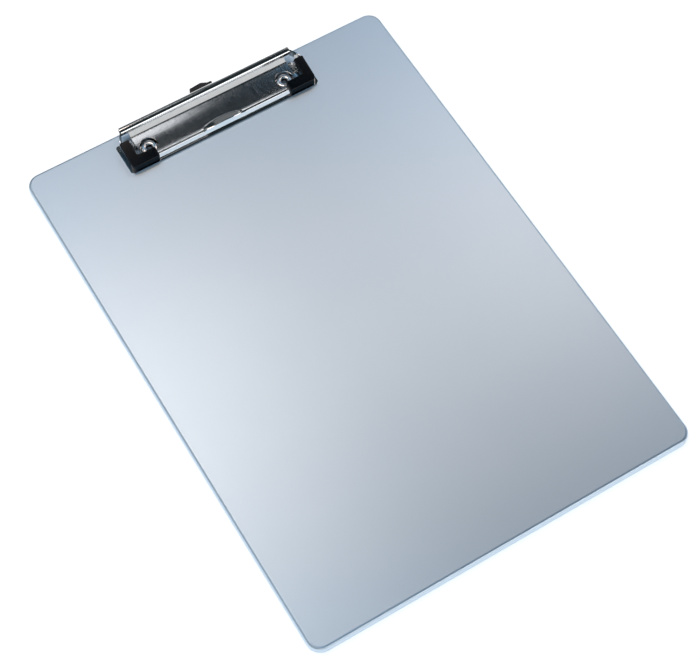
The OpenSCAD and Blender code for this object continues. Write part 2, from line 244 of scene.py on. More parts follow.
def bright_nickel_plate():
    """Clip pressings: drawn sheet, nickel plated to a mirror with a slow ripple and faint handling marks."""
    material, tree, shader, place = new_material("bright_nickel_plate")
    shader.inputs["Base Color"].default_value = srgb("#d9dadb")
    shader.inputs["Metallic"].default_value = 1.0
    marks = grain(tree, place, 2.5 * MM, 4.0)
    tree.links.new(spread(tree, marks, 0.03, 0.08), shader.inputs["Roughness"])
    ripple = grain(tree, place, (9 * MM, 4 * MM, 4 * MM), 1.0)
    bump = add(tree, "Bump", {"Height": ripple, "Strength": 0.12, "Distance": 0.1 * MM})
    tree.links.new(bump.outputs[0], shader.inputs["Normal"])
    return material


def brushed_nickel_plate():
    """Sunken panel: brushed from front to back before plating, so light draws out into short streaks."""
    material, tree, shader, place = new_material("brushed_nickel_plate")
    # brush lines are under 0.1 mm; they are drawn 0.35 mm wide so that they show
    lines = grain(tree, place, (0.35 * MM, 9 * MM, 9 * MM), 3.0)
    shade = spread(tree, lines, 0.0, 1.0)
    tint = add(tree, "Mix", {"Factor": shade, "A": srgb("#c4c6ca"), "B": srgb("#d6d8dc")}, data_type="RGBA")
    tree.links.new(tint.outputs["Result"], shader.inputs["Base Color"])
    tree.links.new(spread(tree, lines, 0.08, 0.14), shader.inputs["Roughness"])
    bump = add(tree, "Bump", {"Height": lines, "Strength": 0.6, "Distance": 0.02 * MM})
    tree.links.new(bump.outputs[0], shader.inputs["Normal"])
    shader.inputs["Metallic"].default_value = 1.0
    return material


def tumbled_nickel_steel():
    """Eyelets: barrel plated and squeezed in a die, so the flange is bright but finely dented."""
    material, tree, shader, place = new_material("tumbled_nickel_steel")
    shader.inputs["Base Color"].default_value = srgb("#cdcecf")
    shader.inputs["Metallic"].default_value = 1.0
    dents = grain(tree, place, 1.3 * MM, 3.0)
    tree.links.new(spread(tree, dents, 0.12, 0.26), shader.inputs["Roughness"])
    bump = add(tree, "Bump", {"Height": dents, "Strength": 0.5, "Distance": 0.12 * MM})
    tree.links.new(bump.outputs[0], shader.inputs["Normal"])
    return material


def drawn_steel(name, colour, roughness):
    """Springs, pins and eyelet bores: steel drawn through a die, left bare with a thin film of oil; the
    bores' near-black colour is painted shade.
    """
    material, tree, shader, place = new_material(name)
    shader.inputs["Base Color"].default_value = srgb(colour)
    shader.inputs["Metallic"].default_value = 1.0
    film = grain(tree, place, 0.8 * MM, 3.0)
    tree.links.new(spread(tree, film, roughness - 0.05, roughness + 0.06), shader.inputs["Roughness"])
    return material


def moulded_rubber():
    """Rubber corners: compression moulded, black with a blue cast and a low soft sheen."""
    material, tree, shader, place = new_material("moulded_rubber")
    bloom = spread(tree, grain(tree, place, 5 * MM, 4.0), 0.0, 1.0)
    tint = add(tree, "Mix", {"Factor": bloom, "A": srgb("#03090f"), "B": srgb("#061019")}, data_type="RGBA")
    tree.links.new(tint.outputs["Result"], shader.inputs["Base Color"])
    skin = grain(tree, place, 0.5 * MM, 3.0)
    tree.links.new(spread(tree, skin, 0.08, 0.14), shader.inputs["Roughness"])
    bump = add(tree, "Bump", {"Height": skin, "Strength": 0.06, "Distance": 0.03 * MM})
    tree.links.new(bump.outputs[0], shader.inputs["Normal"])
    shader.inputs["Specular IOR Level"].default_value = 0.2
    return material


def black_acetal():
    """Hanging loop: injection moulded acetal with a fine spark-eroded texture."""
    material, tree, shader, place = new_material("black_acetal")
    shader.inputs["Base Color"].default_value = srgb("#0b0b0d")
    sparks = grain(tree, place, 0.4 * MM, 2.0)
    tree.links.new(spread(tree, sparks, 0.45, 0.58), shader.inputs["Roughness"])
    bump = add(tree, "Bump", {"Height": sparks, "Strength": 0.2, "Distance": 0.03 * MM})
    tree.links.new(bump.outputs[0], shader.inputs["Normal"])
    return material


ALUMINIUM = satin_anodised_aluminium()
NICKEL = bright_nickel_plate()
BRUSHED = brushed_nickel_plate()
EYELET_STEEL = tumbled_nickel_steel()
SPRING_STEEL = drawn_steel("drawn_spring_steel", "#b4b4b2", 0.25)
PIN_STEEL = drawn_steel("drawn_pin_steel", "#a3a29f", 0.3)
# the eyelet's bore is left unplated and dull, and its near-black colour is painted shade for the dark down
# inside the hole
BORE_PAINTED_SHADE = drawn_steel("unplated_bore_painted_shade", "#262626", 0.55)
RUBBER = moulded_rubber()
ACETAL = black_acetal()


# ---- Building meshes ----

def as_object(name, bm):
    """Closes a bmesh into a new object in the scene."""
    bmesh.ops.recalc_face_normals(bm, faces=bm.faces)
    mesh = bpy.data.meshes.new(name)
    bm.to_mesh(mesh)
    bm.free()
    made = bpy.data.objects.new(name, mesh)
    bpy.context.scene.collection.objects.link(made)
    return made


def settle(obj):
    """Applies what modifiers an object has to its mesh."""
    bpy.context.view_layer.update()
    graph = bpy.context.evaluated_depsgraph_get()
    mesh = bpy.data.meshes.new_from_object(obj.evaluated_get(graph))
    obj.modifiers.clear()
    obj.data = mesh


def carve(obj, tool, operation="DIFFERENCE"):
    """Cuts an object with a tool, or joins them, and throws the tool away."""
    cutting = obj.modifiers.new("carve", "BOOLEAN")
    cutting.operation = operation
    cutting.solver = "EXACT"
    cutting.object = tool
    settle(obj)
    bpy.data.objects.remove(tool)


def thicken(obj, thickness):
    """Gives a sheet its thickness, half to each side."""
    wall = obj.modifiers.new("wall", "SOLIDIFY")
    wall.thickness = thickness
    wall.offset = 0.0
    wall.use_even_offset = True
    settle(obj)


def mirrored(bm):
    """The bmesh turned over to the left-hand side."""
    bmesh.ops.scale(bm, verts=bm.verts, vec=(-1, 1, 1))
    bmesh.ops.recalc_face_normals(bm, faces=bm.faces)
    return bm


def finish_piece(obj, material, body, node, edge, segments=2):
    """Rounds a piece's edges, smooths its shading and gives it its finish and its body."""
    for face in obj.data.polygons:
        face.use_smooth = True
    rounding = obj.modifiers.new("edges", "BEVEL")
    rounding.width = edge
    rounding.segments = segments
    rounding.limit_method = "ANGLE"
    rounding.angle_limit = math.radians(32)
    rounding.use_clamp_overlap = True
    obj.modifiers.new("flats_stay_flat", "WEIGHTED_NORMAL")
    if not obj.data.materials:
        obj.data.materials.append(material)
    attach(obj, body)
    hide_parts(node)


def everything(bm):
    """All of a bmesh, as the cutting operators take it."""
    return bm.verts[:] + bm.edges[:] + bm.faces[:]


def verts_of(geometry):
    """Only the vertices of what an operator gave back."""
    return [g for g in geometry if isinstance(g, bmesh.types.BMVert)]


def edges_of(geometry):
    """Only the edges of what an operator gave back."""
    return [g for g in geometry if isinstance(g, bmesh.types.BMEdge)]


def plate(outline, low, thickness, rounds=()):
    """A flat plate from its outline in plan; rounds gives corner numbers, a radius and a segment count."""
    bm = bmesh.new()
    verts = [bm.verts.new((x, y, low)) for x, y in outline]
    bm.faces.new(verts)
    for corners, radius, segments in rounds:
        bmesh.ops.bevel(bm, geom=[verts[c] for c in corners], offset=radius, segments=segments, profile=0.5,
                        affect="VERTICES", material=-1)
    raised = bmesh.ops.extrude_face_region(bm, geom=bm.faces[:])["geom"]
    bmesh.ops.translate(bm, verts=verts_of(raised), vec=(0, 0, thickness))
    return bm


def block(low, high):
    """A square block between two corners, as a cutting tool."""
    bm = bmesh.new()
    bmesh.ops.create_cube(bm, size=1.0)
    low, high = Vector(low), Vector(high)
    bmesh.ops.scale(bm, verts=bm.verts, vec=high - low)
    bmesh.ops.translate(bm, verts=bm.verts, vec=(low + high) / 2)
    return as_object("tool", bm)


def rod(centre, radius, length, axis="Z", segments=64):
    """A round bar about its centre, as a cutting tool."""
    bm = bmesh.new()
    bmesh.ops.create_cone(bm, cap_ends=True, segments=segments, radius1=radius, radius2=radius, depth=length)
    if axis == "X":
        bmesh.ops.rotate(bm, verts=bm.verts, matrix=Matrix.Rotation(math.pi / 2, 3, "Y"))
    bmesh.ops.translate(bm, verts=bm.verts, vec=centre)
    return as_object("tool", bm)


def side_prism(points, x0, x1):
    """A solid from x0 to x1 with an outline of (y, z) points, as a cutting tool."""
    bm = bmesh.new()
    bm.faces.new([bm.verts.new((x0, y, z)) for y, z in points])
    made = bmesh.ops.extrude_face_region(bm, geom=bm.faces[:])["geom"]
    bmesh.ops.translate(bm, verts=verts_of(made), vec=(x1 - x0, 0, 0))
    return as_object("tool", bm)


def section(bm, points, rounds):
    """A section in the YZ plane through its corners; rounds gives corner numbers and each bend's reach."""
    verts = [bm.verts.new((0, y, z)) for y, z in points]
    for pair in zip(verts, verts[1:]):
        bm.edges.new(pair)
    for corner, reach in rounds:
        bmesh.ops.bevel(bm, geom=[verts[corner]], offset=reach, segments=6, profile=0.5, affect="VERTICES",
                        material=-1)


def sweep(bm, edges, stations):
    """Draws section edges out along X through the stations."""
    verts = {v for e in edges for v in e.verts}
    bmesh.ops.translate(bm, verts=list(verts), vec=(stations[0], 0, 0))
    for here, there in zip(stations, stations[1:]):
        made = bmesh.ops.extrude_edge_only(bm, edges=edges)["geom"]
        verts = set(verts_of(made))
        edges = [e for e in edges_of(made) if set(e.verts) <= verts]
        bmesh.ops.translate(bm, verts=list(verts), vec=(there - here, 0, 0))


def lathe(points, centre, axis, steps=64):
    """Spins a profile of (radius, height) points round an axis through centre; the axis is Z or X."""
    bm = bmesh.new()
    verts = [bm.verts.new((r, 0, h)) for r, h in points]
    edges = [bm.edges.new(pair) for pair in zip(verts, verts[1:])]
    bmesh.ops.spin(bm, geom=verts + edges, cent=(0, 0, 0), axis=(0, 0, 1), angle=math.tau, steps=steps,
                   use_merge=True)
    bmesh.ops.remove_doubles(bm, verts=bm.verts, dist=0.001 * MM)
    if axis == "X":
        bmesh.ops.rotate(bm, verts=bm.verts, matrix=Matrix.Rotation(math.pi / 2, 3, "Y"))
    bmesh.ops.translate(bm, verts=bm.verts, vec=centre)
    return bm


# ---- Board ----

def rounded_slab(name, inset, low, high, corner, top_round):
    """The board's outline, drawn in by an inset, raised and rounded over along its top."""
    x = board_hi.x - inset
    front, rear = board_lo.y + inset, board_hi.y - inset
    bm = plate([(-x, front), (x, front), (x, rear), (-x, rear)], low, high - low,
               [((0, 1, 2, 3), corner, 12)])
    bmesh.ops.recalc_face_normals(bm, faces=bm.faces)
    rim = [e for e in bm.edges if all(abs(v.co.z - high) < 0.01 * MM for v in e.verts)]
    bmesh.ops.bevel(bm, geom=rim, offset=top_round, segments=8, profile=0.5, affect="EDGES", material=-1)
    return as_object(name, bm)


def channel(wall, low, high, past_end):
    """The channel that the loop slides in, grown by a wall, as a tool."""
    head = loop_hi.x + LOOP_GAP + wall
    neck = LOOP_NECK + LOOP_GAP + wall
    inner = loop_lo.y - LOOP_INNER_GAP - wall
    shoulder = loop_lo.y + LOOP_HEAD + LOOP_TRAVEL + LOOP_STOP_GAP + wall
    rear = CLIP_END + past_end
    outline = [(-head, inner), (head, inner), (head, shoulder), (neck, shoulder),
               (neck, rear), (-neck, rear), (-neck, shoulder), (-head, shoulder)]
    return as_object("tool", plate(outline, low, high - low, [((0, 1, 2, 7), CHANNEL_CORNER, 4)]))


def make_board():
    """The board: a sheet folded down all round, with the loop's channel and two rivet holes."""
    board = rounded_slab("board_sheet", 0, board_lo.z, FACE, BOARD_CORNER, BOARD_BEND)
    inside = rounded_slab("tool", BOARD_SHEET, board_lo.z - 1 * MM, FACE - BOARD_SHEET,
                          BOARD_CORNER - BOARD_SHEET, BOARD_BEND - BOARD_SHEET)
    carve(board, inside)
    floor = FACE - CHANNEL_DEPTH
    # the channel's walls stop short of the board's end, and its room runs out past it
    carve(board, channel(BOARD_SHEET, floor - BOARD_SHEET, floor + CHANNEL_DEPTH / 2, -0.4 * MM), "UNION")
    carve(board, channel(0, floor, FACE + 1 * MM, 1 * MM))
    for side in (-1, 1):
        carve(board, rod((side * EYELET.x, EYELET.y, FACE), RIVET_HOLE_R, DRILL))
    finish_piece(board, ALUMINIUM, "board", "board_panel", 0.12 * MM)


# ---- Clip base ----

def base_ear(side):
    """An upright ear with a round top and a hole for its pin, as a tool."""
    x = side * BASE_EAR_X
    ear = rod((x, hinge.y, hinge.z), BASE_EAR_R, STEEL, "X")
    stem = block((x - STEEL / 2, hinge.y - BASE_EAR_R, FACE + 0.1 * MM),
                 (x + STEEL / 2, hinge.y + BASE_EAR_R, hinge.z))
    carve(ear, stem, "UNION")
    carve(ear, rod((x, hinge.y, hinge.z), BASE_PIN_HOLE_R, 4 * STEEL, "X"))
    return ear


def make_base():
    """The base plate: flat steel with two rivet holes and its two ears turned up."""
    half = base_hi.x
    outline = [(-half, base_lo.y), (half, base_lo.y), (half, BASE_REAR), (BASE_INNER, BASE_REAR),
               (BASE_INNER, BASE_MIDDLE), (-BASE_INNER, BASE_MIDDLE), (-BASE_INNER, BASE_REAR),
               (-half, BASE_REAR)]
    # front corners cut off straight, rear corners rounded, and the steps eased
    rounds = [((0, 1), 1.6 * MM, 1), ((2, 7), 1.6 * MM, 6), ((3, 6), 0.6 * MM, 3)]
    base = as_object("base_plate", plate(outline, FACE, STEEL, rounds))
    for side in (-1, 1):
        carve(base, rod((side * EYELET.x, EYELET.y, FACE), RIVET_HOLE_R, DRILL))
        carve(base, base_ear(side), "UNION")
    finish_piece(base, NICKEL, "board", "clip_base", 0.15 * MM)


# ---- Eyelets ----

def make_eyelet(side, node):
    """One hollow rivet through base plate and board, with a flange above and a rolled tail below."""
    bore, barrel, tail = EYELET_BORE_R, EYELET_BARREL_R, EYELET_TAIL_R
    flange = eyelet_hi.x - EYELET.x
    top, low = eyelet_hi.z, eyelet_lo.z
    under = FACE - BOARD_SHEET
    # up the flange's rim, over its round top, down the bore, out along the rolled tail and back
    profile = [(barrel, BASE_TOP), (flange - 0.1 * MM, BASE_TOP), (flange, BASE_TOP + 0.12 * MM),
               (flange - 0.15 * MM, BASE_TOP + 0.3 * MM), (flange - 0.7 * MM, top - 0.12 * MM),
               (3.3 * MM, top), (2.75 * MM, top - 0.02 * MM), (2.3 * MM, top - 0.12 * MM),
               (1.95 * MM, top - 0.32 * MM), (1.75 * MM, top - 0.6 * MM), (bore, top - 1 * MM),
               (bore, low + 0.5 * MM), (bore + 0.2 * MM, low + 0.15 * MM), (bore + 0.6 * MM, low),
               (tail - 0.5 * MM, low + 0.1 * MM), (tail, low + 0.4 * MM), (tail - 0.1 * MM, under),
               (barrel, under), (barrel, BASE_TOP)]
    rivet = as_object(node + "_rivet", lathe(profile, (side * EYELET.x, EYELET.y, 0), "Z"))
    rivet.data.materials.append(EYELET_STEEL)
    rivet.data.materials.append(BORE_PAINTED_SHADE)
    # faces down the bore get the near-black painted shade
    for face in rivet.data.polygons:
        reach = math.hypot(abs(face.center.x) - EYELET.x, face.center.y - EYELET.y)
        face.material_index = int(reach < bore + 0.08 * MM)
    finish_piece(rivet, EYELET_STEEL, "board", node, 0.06 * MM)


# ---- Hinge pins and springs ----

def make_pin(side, node):
    """One hinge pin, turned from bar, with its head at the inner end."""
    head, head_depth, shaft = 1.7 * MM, 0.5 * MM, 1 * MM
    inner, length = pin_lo.x, pin_hi.x - pin_lo.x
    # a domed head, and a shaft with its end eased
    profile = [(0, 0), (head * 0.55, 0.05 * MM), (head * 0.9, 0.2 * MM), (head, 0.34 * MM),
               (head, head_depth), (shaft, head_depth), (shaft, length - 0.2 * MM),
               (shaft - 0.2 * MM, length), (0, length)]
    bm = lathe(profile, (inner, hinge.y, hinge.z), "X", 40)
    if side < 0:
        mirrored(bm)
    finish_piece(as_object(node + "_turned", bm), PIN_STEEL, "board", node, 0.04 * MM)


def spring_route(side):
    """The middle of the wire: an arm on the base plate, the coil, and an arm on the lever's plate."""
    inner = pin_lo.x + 1 * MM
    outer = inner + COIL_PITCH * COIL_TURNS
    base_arm = BASE_TOP + WIRE / 2 + FIT_GAP - hinge.z
    lever_arm = PLATE_TOP + WIRE / 2 + FIT_GAP - hinge.z
    # distances from the hinge's axis, each arm leading into the bottom of the coil
    route = [(inner, 4.6 * MM, base_arm), (inner, 3.4 * MM, base_arm),
             (inner, 2.3 * MM, base_arm + 0.35 * MM), (inner, 1.1 * MM, -COIL_R - 0.05 * MM)]
    rings = COIL_TURNS * COIL_STEPS
    for i in range(rings + 1):
        angle = -math.pi / 2 - math.tau * COIL_TURNS * i / rings
        across = inner + (outer - inner) * i / rings
        route.append((across, COIL_R * math.cos(angle), COIL_R * math.sin(angle)))
    route += [(outer + 0.05 * MM, -0.8 * MM, -COIL_R + 0.05 * MM),
              (outer + 0.1 * MM, -1.6 * MM, -COIL_R + 0.23 * MM),
              (outer + 0.14 * MM, -2.4 * MM, lever_arm - 0.07 * MM),
              (outer + 0.15 * MM, -3.4 * MM, lever_arm), (outer + 0.15 * MM, -5.7 * MM, lever_arm),
              (outer + 0.15 * MM, -8 * MM, lever_arm)]
    return [Vector((side * x, hinge.y + y, hinge.z + z)) for x, y, z in route]


def make_spring(side, node):
    """One torsion spring: a single closed tube along its route."""
    curve = bpy.data.curves.new(node, "CURVE")
    curve.dimensions = "3D"
    curve.bevel_depth = WIRE / 2
    curve.bevel_resolution = 4
    curve.use_fill_caps = True
    route = spring_route(side)
    spline = curve.splines.new("POLY")
    spline.points.add(len(route) - 1)
    for point, place in zip(spline.points, route):
        point.co = (*place, 1)
    wire = bpy.data.objects.new(node + "_wire", curve)
    bpy.context.scene.collection.objects.link(wire)
    bpy.context.view_layer.update()
    mesh = bpy.data.meshes.new_from_object(wire.evaluated_get(bpy.context.evaluated_depsgraph_get()))
    bpy.data.objects.remove(wire)
    bm = bmesh.new()
    bm.from_mesh(mesh)
    bmesh.ops.remove_doubles(bm, verts=bm.verts, dist=0.001 * MM)
    spring = as_object(node + "_wire", bm)
    spring.data.materials.append(SPRING_STEEL)
    for face in spring.data.polygons:
        face.use_smooth = True
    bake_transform(spring)
    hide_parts(node)


# ---- Lever ----

def press_panel(bm):
    """Gives the sunken panel its slight crown and presses up the arch behind the middle of the ridge."""
    # rows of vertices to bend at, close together under the arch and wider behind it
    close_rows = [0.6 + 0.5 * i for i in range(9)]
    wide_rows = [5.6 + 1.3 * i for i in range(9)]
    for back in close_rows + wide_rows:
        bmesh.ops.bisect_plane(bm, geom=everything(bm), plane_co=(0, RIDGE_Y + back * MM, 0),
                               plane_no=(0, 1, 0))
    middle, half = (JAW_REAR + PLATE_REAR) / 2, (PLATE_REAR - JAW_REAR) / 2
    for v in bm.verts:
        place = abs(v.co.y - middle) / half
        if place < 1 and abs(v.co.x) < PLATE_HALF + 1 * MM:
            v.co.z += PANEL_CROWN * (1 - place ** 2)
    fall = (RIDGE_MID + ARCH_RISE - PLATE_MID) / ARCH_HALF ** 2
    for v in bm.verts:
        back = v.co.y - RIDGE_Y
        if abs(v.co.x) > ARCH_HALF or not -0.5 * MM < back < ARCH_REACH:
            continue
        arch = RIDGE_MID + ARCH_RISE - max(0, back) * ARCH_SLOPE - fall * v.co.x ** 2
        # the larger of the two heights, with a soft bend where they meet
        gap = arch - v.co.z
        v.co.z += (gap + math.hypot(gap, ARCH_SOFT)) / 2


def lever_sheet():
    """The lever's sheet without its ears, as one surface halfway through the steel."""
    bm = bmesh.new()
    riser_top = (ROLL_Y + ROLL_MID * math.cos(RISER_MEETS), ROLL_Z + ROLL_MID * math.sin(RISER_MEETS))
    section(bm, [(JAW_FRONT + STEEL / 2, FOOT_MID), (RIDGE_Y, RIDGE_MID), (JAW_REAR, PLATE_MID),
                 (WINDOW_FRONT, PLATE_MID), (PLATE_REAR, PLATE_MID), riser_top],
            [(1, RIDGE_BEND), (2, PLATE_BEND), (4, PLATE_BEND)])
    arch = [ARCH_HALF * (i / 12 - 1) for i in range(25)]
    stations = [-EAR_MID, -ROLL_HALF, -PLATE_HALF, *arch, PLATE_HALF, ROLL_HALF, EAR_MID]
    sweep(bm, list(bm.edges), stations)
    outside = [f for f in bm.faces if abs(f.calc_center_median().x) > PLATE_HALF
               and f.calc_center_median().y > WINDOW_FRONT]
    bmesh.ops.delete(bm, geom=outside, context="FACES")
    press_panel(bm)
    return as_object("clip_lever_pressing", bm)


def roll_tube():
    """The rolled thumb edge, open below, with its front lip just past the riser."""
    bm = bmesh.new()
    lip = (0, ROLL_Y + ROLL_MID * math.cos(ROLL_LIP), ROLL_Z + ROLL_MID * math.sin(ROLL_LIP))
    start = bm.verts.new(lip)
    bmesh.ops.spin(bm, geom=[start], cent=(0, ROLL_Y, ROLL_Z), axis=(1, 0, 0),
                   angle=ROLL_OPEN - math.tau - ROLL_LIP, steps=40)
    sweep(bm, list(bm.edges), [-ROLL_HALF, ROLL_HALF])
    return as_object("tool", bm)


def lever_ear(side):
    """One upturned side of the lever, drawn in behind the hinge to meet the roll's end."""
    bm = bmesh.new()
    outline = [(EAR_FRONT, EAR_FOOT), (EAR_FOOT_REAR, EAR_FOOT), (EAR_FOOT_REAR + 3 * MM, PLATE_LOW),
               (hinge.y - 2 * MM, PLATE_LOW), (hinge.y + 3 * MM, EAR_LOW_REAR),
               (EAR_END, EAR_LOW_REAR), (EAR_END, EAR_TOP_REAR), (EAR_BEND, EAR_TOP_REAR),
               (EAR_FRONT, EAR_TOP_FRONT)]
    bm.faces.new([bm.verts.new((EAR_MID, y, z)) for y, z in outline])
    steps = 8
    for i in range(steps + 1):
        y = EAR_BEND - EAR_HALF_BEND + 2 * EAR_HALF_BEND * i / steps
        bmesh.ops.bisect_plane(bm, geom=everything(bm), plane_co=(0, y, 0), plane_no=(0, 1, 0))
    slope = (EAR_MID - ROLL_HALF + STEEL / 2) / (EAR_END - EAR_BEND)
    for v in bm.verts:
        past = v.co.y - EAR_BEND
        if past > EAR_HALF_BEND:
            v.co.x -= slope * past
        elif past > -EAR_HALF_BEND:
            v.co.x -= slope * (past + EAR_HALF_BEND) ** 2 / (4 * EAR_HALF_BEND)
    if side < 0:
        mirrored(bm)
    ear = as_object("tool", bm)
    thicken(ear, STEEL)
    carve(ear, rod((side * EAR_MID, hinge.y, hinge.z), EAR_PIN_HOLE_R, 4 * STEEL, "X"))
    return ear


def make_lever():
    """The lever: sheet, roll and ears as one pressing, with two round holes over the eyelets."""
    lever = lever_sheet()
    thicken(lever, STEEL)
    for side in (-1, 1):
        hole = rod((side * EYELET.x, EYELET.y, PLATE_MID), ACCESS_R, 4 * MM, segments=96)
        carve(lever, hole)
    roll = roll_tube()
    thicken(roll, STEEL)
    carve(lever, roll, "UNION")
    for side in (-1, 1):
        carve(lever, lever_ear(side), "UNION")
    lever.data.materials.clear()
    lever.data.materials.append(NICKEL)
    lever.data.materials.append(BRUSHED)
    # only the sunken panel's upper face was brushed
    for face in lever.data.polygons:
        flat = face.normal.z > 0.99 and abs(face.center.z - PLATE_TOP) < 0.25 * MM
        face.material_index = int(flat and face.center.y > RIDGE_Y)
    finish_piece(lever, NICKEL, "lever", "clip_lever", 0.14 * MM)


# ---- Rubber corners ----

def rubber_shell(name):
    """The L-shaped corner for the right-hand side, still solid."""
    out, front, back = rubber_hi.x, rubber_lo.y, rubber_hi.y
    inner, leg_end, leg_rear = out - RUBBER_SIDE_LEG, rubber_lo.x, RUBBER_LEG_REAR
    outline = [(leg_end, front), (out, front), (out, back), (inner, back), (inner, leg_rear),
               (leg_end, leg_rear)]
    blank_height = 14 * MM
    bm = plate(outline, RUBBER_FOOT, blank_height,
               [((1,), RUBBER_PLAN_R, 10), ((0, 2, 3, 5), 0.9 * MM, 4), ((4,), 0.8 * MM, 4)])
    # the top slopes up towards the back, with a rounded rim
    cut = bmesh.ops.bisect_plane(bm, geom=everything(bm), plane_co=(0, front, RUBBER_TOP),
                                 plane_no=(0, -math.sin(RUBBER_SLOPE), math.cos(RUBBER_SLOPE)),
                                 clear_outer=True)
    rim = edges_of(cut["geom_cut"])
    bmesh.ops.contextual_create(bm, geom=rim)
    bmesh.ops.recalc_face_normals(bm, faces=bm.faces)
    bmesh.ops.bevel(bm, geom=[e for e in rim if e.is_valid], offset=RUBBER_RIM_R, segments=5, profile=0.5,
                    affect="EDGES", material=-1)
    # the foot rises behind the hinge, to leave room as the lever opens
    tilt = math.atan2(RUBBER_REAR_FOOT - RUBBER_FOOT, back - RUBBER_FOOT_FRONT)
    cut = bmesh.ops.bisect_plane(bm, geom=everything(bm), plane_co=(0, RUBBER_FOOT_FRONT, RUBBER_FOOT),
                                 plane_no=(0, math.sin(tilt), -math.cos(tilt)), clear_outer=True)
    bmesh.ops.contextual_create(bm, geom=edges_of(cut["geom_cut"]))
    return as_object(name, bm)


def rubber_top_at(y):
    """The height of the rubber's sloping top at a distance along the board."""
    return RUBBER_TOP + math.tan(RUBBER_SLOPE) * (y - rubber_lo.y)


def make_rubber_corner(side, node):
    """One rubber corner, hollowed to sit over the jaw's end, the ear, the pin and the spring."""
    rubber = rubber_shell(node + "_moulding")
    edge = lever_hi.x + FIT_GAP
    # cutters start short of the front leg's end and run out past the side leg's
    start, behind = 30 * MM, rubber_hi.y + 5 * MM
    # room for the jaw and the panel
    grown = STEEL / 2 + FIT_GAP
    carve(rubber, side_prism([(JAW_FRONT - FIT_GAP, 0), (JAW_FRONT - FIT_GAP, FOOT_MID),
                              (RIDGE_Y - grown, RIDGE_MID + 0.15 * MM),
                              (RIDGE_Y - 0.1 * MM, RIDGE_MID + grown),
                              (JAW_REAR, PLATE_MID + grown), (JAW_REAR, 0)], start, edge))
    carve(rubber, block((start, JAW_REAR, 0), (edge, behind, PLATE_TOP + FIT_GAP)))
    # room for the lever's ear
    ear_from = lever_lo.y - FIT_GAP
    carve(rubber, side_prism([(ear_from, 0), (behind, 0), (behind, EAR_TOP_REAR),
                              (EAR_BEND, EAR_TOP_REAR + FIT_GAP), (ear_from, EAR_TOP_FRONT + FIT_GAP)],
                             EAR_MID - STEEL / 2 - FIT_GAP, edge))
    # the side leg is a shell, open below and behind
    inside = rubber_hi.x - RUBBER_SIDE_LEG + RUBBER_WALL
    roof_front = rubber_top_at(EAR_FOOT_REAR) - RUBBER_WALL
    roof_rear = rubber_top_at(behind) - RUBBER_WALL
    carve(rubber, side_prism([(EAR_FOOT_REAR, 0), (behind, 0), (behind, roof_rear),
                              (EAR_FOOT_REAR, roof_front)], inside, edge))
    # room for the coil
    room = COIL_R + WIRE / 2 + 0.3 * MM
    carve(rubber, rod((edge / 2, hinge.y, hinge.z), room, edge, "X"))
    carve(rubber, block((start, hinge.y, 0), (edge, behind, hinge.z + room)))
    carve(rubber, block((start, hinge.y - room, 0), (edge, behind, hinge.z)))
    if side < 0:
        bm = bmesh.new()
        bm.from_mesh(rubber.data)
        mirrored(bm).to_mesh(rubber.data)
        bm.free()
    finish_piece(rubber, RUBBER, "lever", node, 0.12 * MM)


# ---- Hanging loop ----

def make_loop():
    """The hanging loop: a flat T, with a hole to hang it by."""
    head, inner, tip = loop_hi.x, loop_lo.y, loop_hi.y
    head_outer = inner + LOOP_HEAD
    # past the neck comes a thumb nub, off centre, with a small lug at its right
    outline = [(-head, inner), (head, inner), (head, head_outer), (LOOP_NECK, head_outer),
               (LOOP_NECK, tip - 4.2 * MM), (8.2 * MM, tip - 3.2 * MM), (8.2 * MM, tip - 1.8 * MM),
               (5.8 * MM, tip - 1.8 * MM), (2.2 * MM, tip), (-5.2 * MM, tip - 0.6 * MM),
               (-6.4 * MM, tip - 3.2 * MM), (-LOOP_NECK, tip - 4.5 * MM), (-LOOP_NECK, head_outer),
               (-head, head_outer)]
    rounds = [((0, 1, 2, 13), 0.5 * MM, 3), ((5, 6, 8, 9, 10), 0.4 * MM, 3)]
    bm = plate(outline, loop_lo.z, loop_hi.z - loop_lo.z, rounds)
    loop = as_object("hanging_loop_moulding", bm)
    carve(loop, rod((0, CLIP_END - HANG_BACK, loop_lo.z), HANG_R, DRILL))
    finish_piece(loop, ACETAL, "loop", "hanging_loop", 0.2 * MM, segments=3)


make_board()
make_base()
make_lever()
make_loop()
for side, word in ((-1, "left"), (1, "right")):
    make_eyelet(side, "eyelet_" + word)
    make_pin(side, "hinge_pin_" + word)
    make_spring(side, "torsion_spring_" + word)
    make_rubber_corner(side, "rubber_corner_" + word)


# ---- Floor, light and camera ----

CEILING = 1.06
FRONT, REAR = -1.3, 1.8
LEFT, RIGHT = -1.2, 1.4
WHITE = "#ffffff"
WARM = "#ffebdd"
COOL = "#94d2ff"
PALE = "#dcecff"
STUDIO_DARK = (0.02, 0.03, 0.035, 1)

FLOOR_HALF = 3
FLOOR_GLOW = 0.6
# Where the floor's glow starts and is full, as distances out from the board's edge
GLOW_START = -6 * MM
GLOW_FULL = -4 * MM

CAMERA_AT = (-0.24093, -0.41763, 0.88181)
CAMERA_LENS_MM = 95.71
CAMERA_HEADING = math.radians(30.395)
CAMERA_DOWN = math.radians(62.156)
CAMERA_ROLL = math.radians(0.62)


